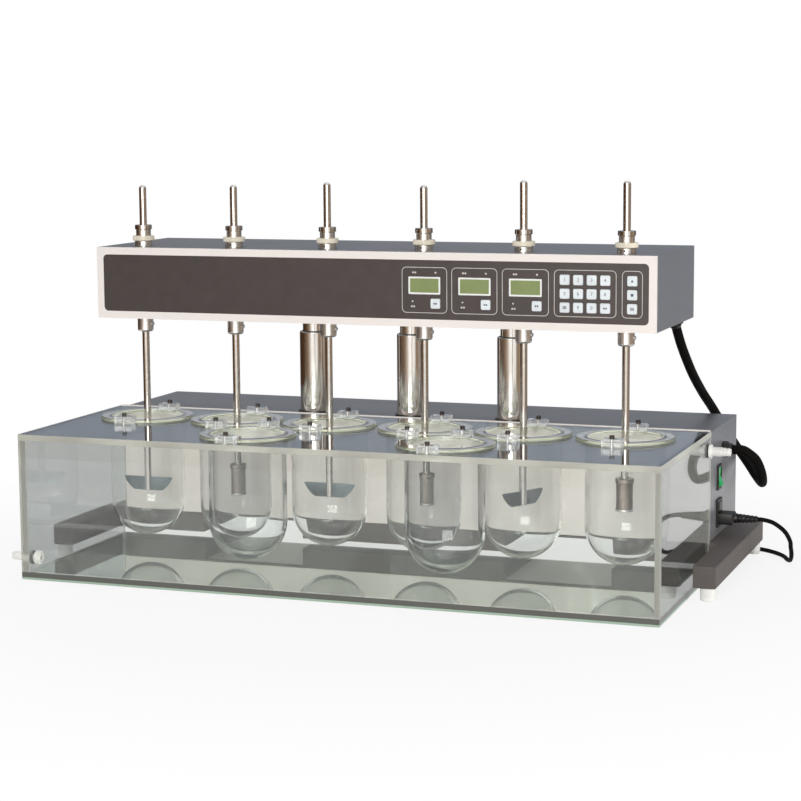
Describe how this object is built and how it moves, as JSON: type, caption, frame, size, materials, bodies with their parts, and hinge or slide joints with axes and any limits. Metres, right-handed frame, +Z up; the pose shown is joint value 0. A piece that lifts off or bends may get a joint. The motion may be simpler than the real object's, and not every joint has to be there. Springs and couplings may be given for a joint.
{
  "type": "dissolution tester",
  "caption": "Bench dissolution tester: a stirring head on lifting columns hangs paddles and baskets into glass vessels set in a clear water bath, with a cabinet behind.",
  "frame": {"origin": "on the bench under the middle of the instrument's footprint, without its cords", "axes": "+X to the operator's right along the head, +Y to the back, +Z up"},
  "size_m": [1.01, 0.634, 0.532],
  "materials": {
    "base_paint": "dark brown-grey paint on a casting",
    "pale_plastic": "off-white moulded nylon",
    "grey_paint": "grey textured powder coat",
    "cream_paint": "cream satin paint",
    "chrome": "bright chromed tube",
    "steel": "turned stainless steel",
    "motor_paint": "dark grey paint",
    "plain_aluminium": "milled plate",
    "black_plastic": "black moulding",
    "lit_rocker": "green translucent moulding",
    "cord_rubber": "black sheath",
    "tinted_acrylic": "grey-green tinted sheet",
    "clear_acrylic": "clear polished sheet",
    "vessel_glass": "clear borosilicate glass",
    "panel_film": "dark printed film",
    "display_lens": "green liquid crystal behind a lens",
    "key_plastic": "white key caps"
  },
  "bodies": {
    "base": {"base_frame": "base_paint", "base_feet": "pale_plastic", "overflow_fitting": "pale_plastic", "drain_fitting": "pale_plastic", "cabinet_cover": "grey_paint", "cabinet_front_panel": "cream_paint", "column_tubes": "chrome", "clip_screws": "steel", "lift_drive": "motor_paint", "heater_pump": "plain_aluminium", "switch_housing": "black_plastic", "power_inlet": "black_plastic", "power_plug": "black_plastic", "mains_plug": "black_plastic", "cabinet_gland": "black_plastic", "power_cord": "cord_rubber", "power_cord_coil": "cord_rubber", "conduit": "cord_rubber", "bath_floor": "tinted_acrylic", "bath_walls": "clear_acrylic", "bath_top_plate": "clear_acrylic", "vessel_clips": "clear_acrylic", "stirred_vessels": "vessel_glass", "spare_vessels": "vessel_glass"},
    "head": {"head_cover": "grey_paint", "head_bezel": "cream_paint", "head_panel": "panel_film", "display_modules": "display_lens", "guide_rods": "steel", "head_chassis": "plain_aluminium", "drive_motor": "motor_paint", "drive_belt": "cord_rubber", "spindle_bearings": "steel", "head_gland": "black_plastic"},
    "stirrer_1": {"stirrer_1": "steel"},
    "stirrer_2": {"stirrer_2": "steel"},
    "stirrer_3": {"stirrer_3": "steel"},
    "stirrer_4": {"stirrer_4": "steel"},
    "stirrer_5": {"stirrer_5": "steel"},
    "stirrer_6": {"stirrer_6": "steel"},
    "motor_pulley": {"motor_pulley": "plain_aluminium"},
    "switch_rocker": {"switch_rocker": "lit_rocker"},
    "key_1": {"key_1": "key_plastic"},
    "key_2": {"key_2": "key_plastic"},
    "key_3": {"key_3": "key_plastic"},
    "key_4": {"key_4": "key_plastic"},
    "key_5": {"key_5": "key_plastic"},
    "key_6": {"key_6": "key_plastic"},
    "key_7": {"key_7": "key_plastic"},
    "key_8": {"key_8": "key_plastic"},
    "key_clear": {"key_clear": "key_plastic"},
    "key_9": {"key_9": "key_plastic"},
    "key_0": {"key_0": "key_plastic"},
    "key_enter": {"key_enter": "key_plastic"},
    "key_select": {"key_select": "key_plastic"},
    "key_run": {"key_run": "key_plastic"},
    "key_stop": {"key_stop": "key_plastic"},
    "key_speed": {"key_speed": "key_plastic"},
    "key_heat": {"key_heat": "key_plastic"},
    "key_time": {"key_time": "key_plastic"}
  },
  "joints": [
    {"name": "head_lift", "type": "slide", "parent": "base", "child": "head", "axis": [0, 0, 1], "range_m": [-0.026, 0.15], "deforming": ["conduit"]},
    {"name": "stirrer_1_spin", "type": "hinge", "parent": "head", "child": "stirrer_1", "pos_m": [-0.345, -0.041, 0.341], "axis": [0, 0, 1], "continuous": true},
    {"name": "stirrer_2_spin", "type": "hinge", "parent": "head", "child": "stirrer_2", "pos_m": [-0.207, -0.041, 0.341], "axis": [0, 0, 1], "continuous": true},
    {"name": "stirrer_3_spin", "type": "hinge", "parent": "head", "child": "stirrer_3", "pos_m": [-0.069, -0.041, 0.341], "axis": [0, 0, 1], "continuous": true},
    {"name": "stirrer_4_spin", "type": "hinge", "parent": "head", "child": "stirrer_4", "pos_m": [0.069, -0.041, 0.341], "axis": [0, 0, 1], "continuous": true},
    {"name": "stirrer_5_spin", "type": "hinge", "parent": "head", "child": "stirrer_5", "pos_m": [0.207, -0.041, 0.341], "axis": [0, 0, 1], "continuous": true},
    {"name": "stirrer_6_spin", "type": "hinge", "parent": "head", "child": "stirrer_6", "pos_m": [0.345, -0.041, 0.341], "axis": [0, 0, 1], "continuous": true},
    {"name": "motor_pulley_spin", "type": "hinge", "parent": "head", "child": "motor_pulley", "pos_m": [0, 0.031, 0.41], "axis": [0, 0, 1], "continuous": true},
    {"name": "switch_rock", "type": "hinge", "parent": "base", "child": "switch_rocker", "pos_m": [0.433, 0.119, 0.126], "axis": [0, 1, 0], "range_deg": [0, 18]},
    {"name": "key_1_press", "type": "slide", "parent": "head", "child": "key_1", "axis": [0, 1, 0], "range_m": [0, 0.0008], "stiffness_N_per_m": 1000, "springref_m": -0.001},
    {"name": "key_2_press", "type": "slide", "parent": "head", "child": "key_2", "axis": [0, 1, 0], "range_m": [0, 0.0008], "stiffness_N_per_m": 1000, "springref_m": -0.001},
    {"name": "key_3_press", "type": "slide", "parent": "head", "child": "key_3", "axis": [0, 1, 0], "range_m": [0, 0.0008], "stiffness_N_per_m": 1000, "springref_m": -0.001},
    {"name": "key_4_press", "type": "slide", "parent": "head", "child": "key_4", "axis": [0, 1, 0], "range_m": [0, 0.0008], "stiffness_N_per_m": 1000, "springref_m": -0.001},
    {"name": "key_5_press", "type": "slide", "parent": "head", "child": "key_5", "axis": [0, 1, 0], "range_m": [0, 0.0008], "stiffness_N_per_m": 1000, "springref_m": -0.001},
    {"name": "key_6_press", "type": "slide", "parent": "head", "child": "key_6", "axis": [0, 1, 0], "range_m": [0, 0.0008], "stiffness_N_per_m": 1000, "springref_m": -0.001},
    {"name": "key_7_press", "type": "slide", "parent": "head", "child": "key_7", "axis": [0, 1, 0], "range_m": [0, 0.0008], "stiffness_N_per_m": 1000, "springref_m": -0.001},
    {"name": "key_8_press", "type": "slide", "parent": "head", "child": "key_8", "axis": [0, 1, 0], "range_m": [0, 0.0008], "stiffness_N_per_m": 1000, "springref_m": -0.001},
    {"name": "key_clear_press", "type": "slide", "parent": "head", "child": "key_clear", "axis": [0, 1, 0], "range_m": [0, 0.0008], "stiffness_N_per_m": 1000, "springref_m": -0.001},
    {"name": "key_9_press", "type": "slide", "parent": "head", "child": "key_9", "axis": [0, 1, 0], "range_m": [0, 0.0008], "stiffness_N_per_m": 1000, "springref_m": -0.001},
    {"name": "key_0_press", "type": "slide", "parent": "head", "child": "key_0", "axis": [0, 1, 0], "range_m": [0, 0.0008], "stiffness_N_per_m": 1000, "springref_m": -0.001},
    {"name": "key_enter_press", "type": "slide", "parent": "head", "child": "key_enter", "axis": [0, 1, 0], "range_m": [0, 0.0008], "stiffness_N_per_m": 1000, "springref_m": -0.001},
    {"name": "key_select_press", "type": "slide", "parent": "head", "child": "key_select", "axis": [0, 1, 0], "range_m": [0, 0.0008], "stiffness_N_per_m": 1000, "springref_m": -0.001},
    {"name": "key_run_press", "type": "slide", "parent": "head", "child": "key_run", "axis": [0, 1, 0], "range_m": [0, 0.0008], "stiffness_N_per_m": 1000, "springref_m": -0.001},
    {"name": "key_stop_press", "type": "slide", "parent": "head", "child": "key_stop", "axis": [0, 1, 0], "range_m": [0, 0.0008], "stiffness_N_per_m": 1000, "springref_m": -0.001},
    {"name": "key_speed_press", "type": "slide", "parent": "head", "child": "key_speed", "axis": [0, 1, 0], "range_m": [0, 0.0008], "stiffness_N_per_m": 1000, "springref_m": -0.001},
    {"name": "key_heat_press", "type": "slide", "parent": "head", "child": "key_heat", "axis": [0, 1, 0], "range_m": [0, 0.0008], "stiffness_N_per_m": 1000, "springref_m": -0.001},
    {"name": "key_time_press", "type": "slide", "parent": "head", "child": "key_time", "axis": [0, 1, 0], "range_m": [0, 0.0008], "stiffness_N_per_m": 1000, "springref_m": -0.001}
  ],
  "couplings": [
    {"joint": "stirrer_2_spin", "follows": "stirrer_1_spin", "ratio": 1},
    {"joint": "stirrer_3_spin", "follows": "stirrer_1_spin", "ratio": 1},
    {"joint": "stirrer_4_spin", "follows": "stirrer_1_spin", "ratio": 1},
    {"joint": "stirrer_5_spin", "follows": "stirrer_1_spin", "ratio": 1},
    {"joint": "stirrer_6_spin", "follows": "stirrer_1_spin", "ratio": 1},
    {"joint": "motor_pulley_spin", "follows": "stirrer_1_spin", "ratio": 1.6667}
  ]
}
